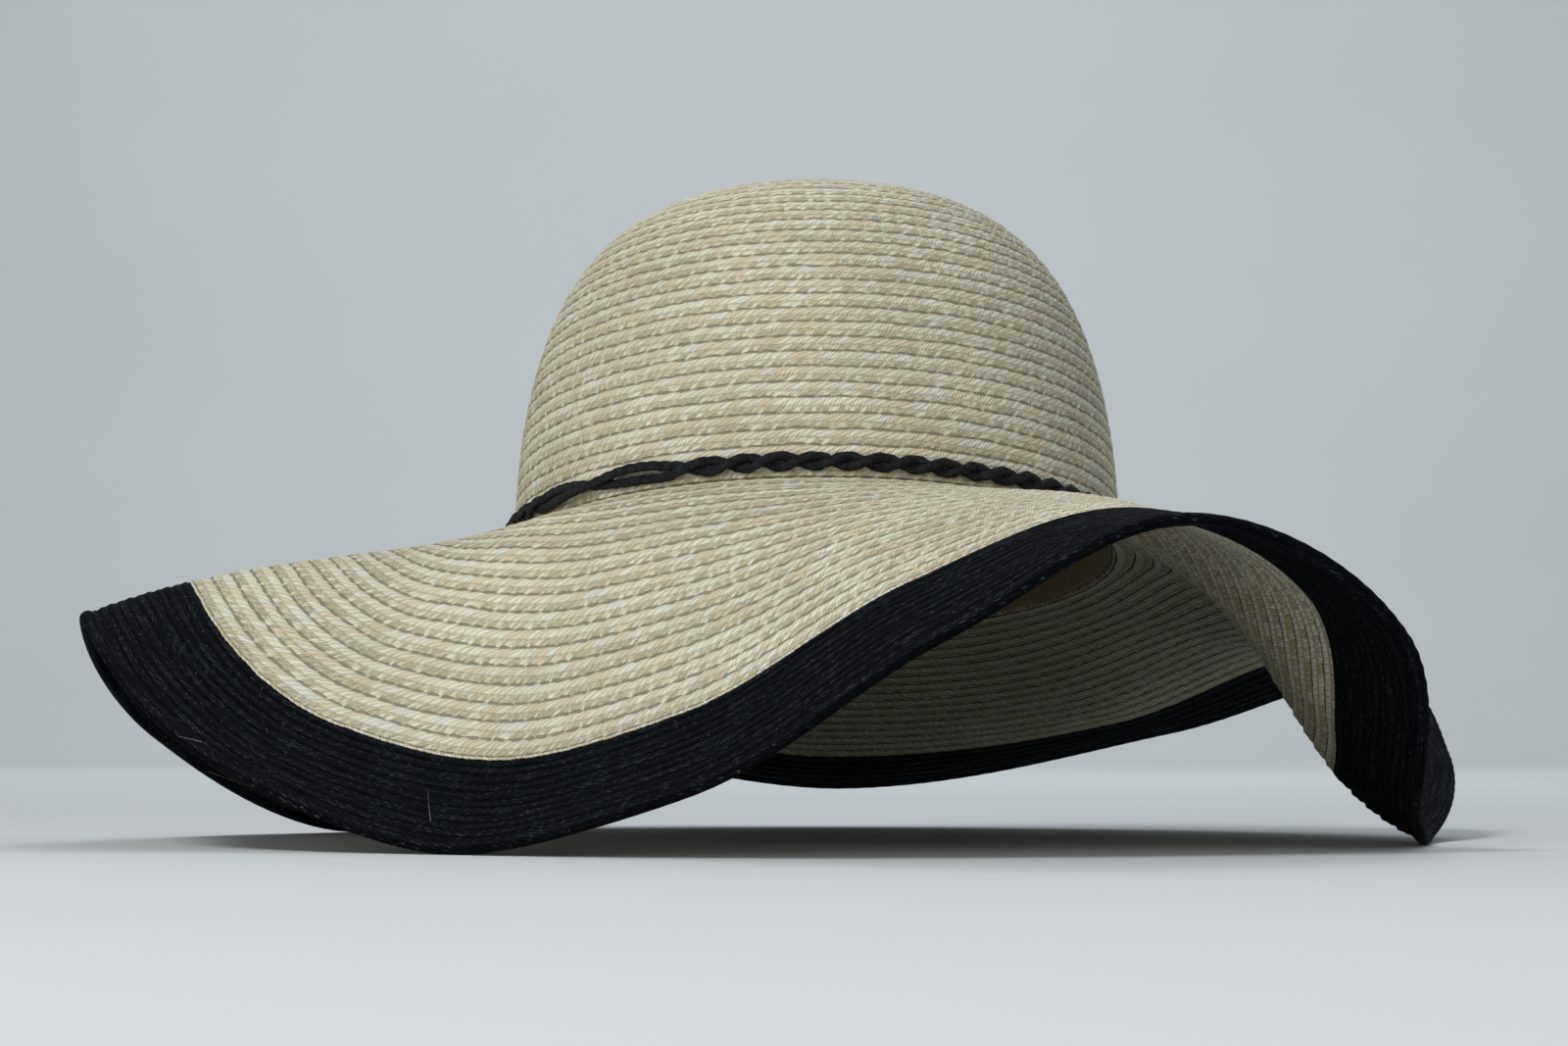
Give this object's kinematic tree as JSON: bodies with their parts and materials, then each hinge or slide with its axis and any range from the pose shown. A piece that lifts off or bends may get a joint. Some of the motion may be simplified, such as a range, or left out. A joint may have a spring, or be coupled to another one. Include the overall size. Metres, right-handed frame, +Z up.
{
  "type": "wide-brimmed straw sun hat",
  "caption": "Floppy sun hat of spirally sewn straw braid: round crown with a cord band, wavy wide brim with a dark braided border, ribbon sweatband inside.",
  "frame": {"origin": "on the surface that the hat rests on, under the middle of its bounding box", "axes": "+Z up from the resting surface, -Y towards the hat's front, +X to the right as seen from the front; the crown leans back about 10 degrees, as the brim's lowest waves set it"},
  "size_m": [0.3834, 0.4166, 0.1796],
  "materials": {
    "natural_straw": "matte paper-straw braid, mottled pale and beige",
    "dark_straw": "matte blue-black paper-straw braid",
    "band_cord": "matte black twisted cord",
    "sweatband_ribbon": "tan grosgrain ribbon"
  },
  "bodies": {
    "root": {"crown": "natural_straw", "brim": "natural_straw", "brim_border": "dark_straw", "band_cord_lower": "band_cord", "band_cord_upper": "band_cord", "sweatband": "sweatband_ribbon"}
  },
  "joints": []
}
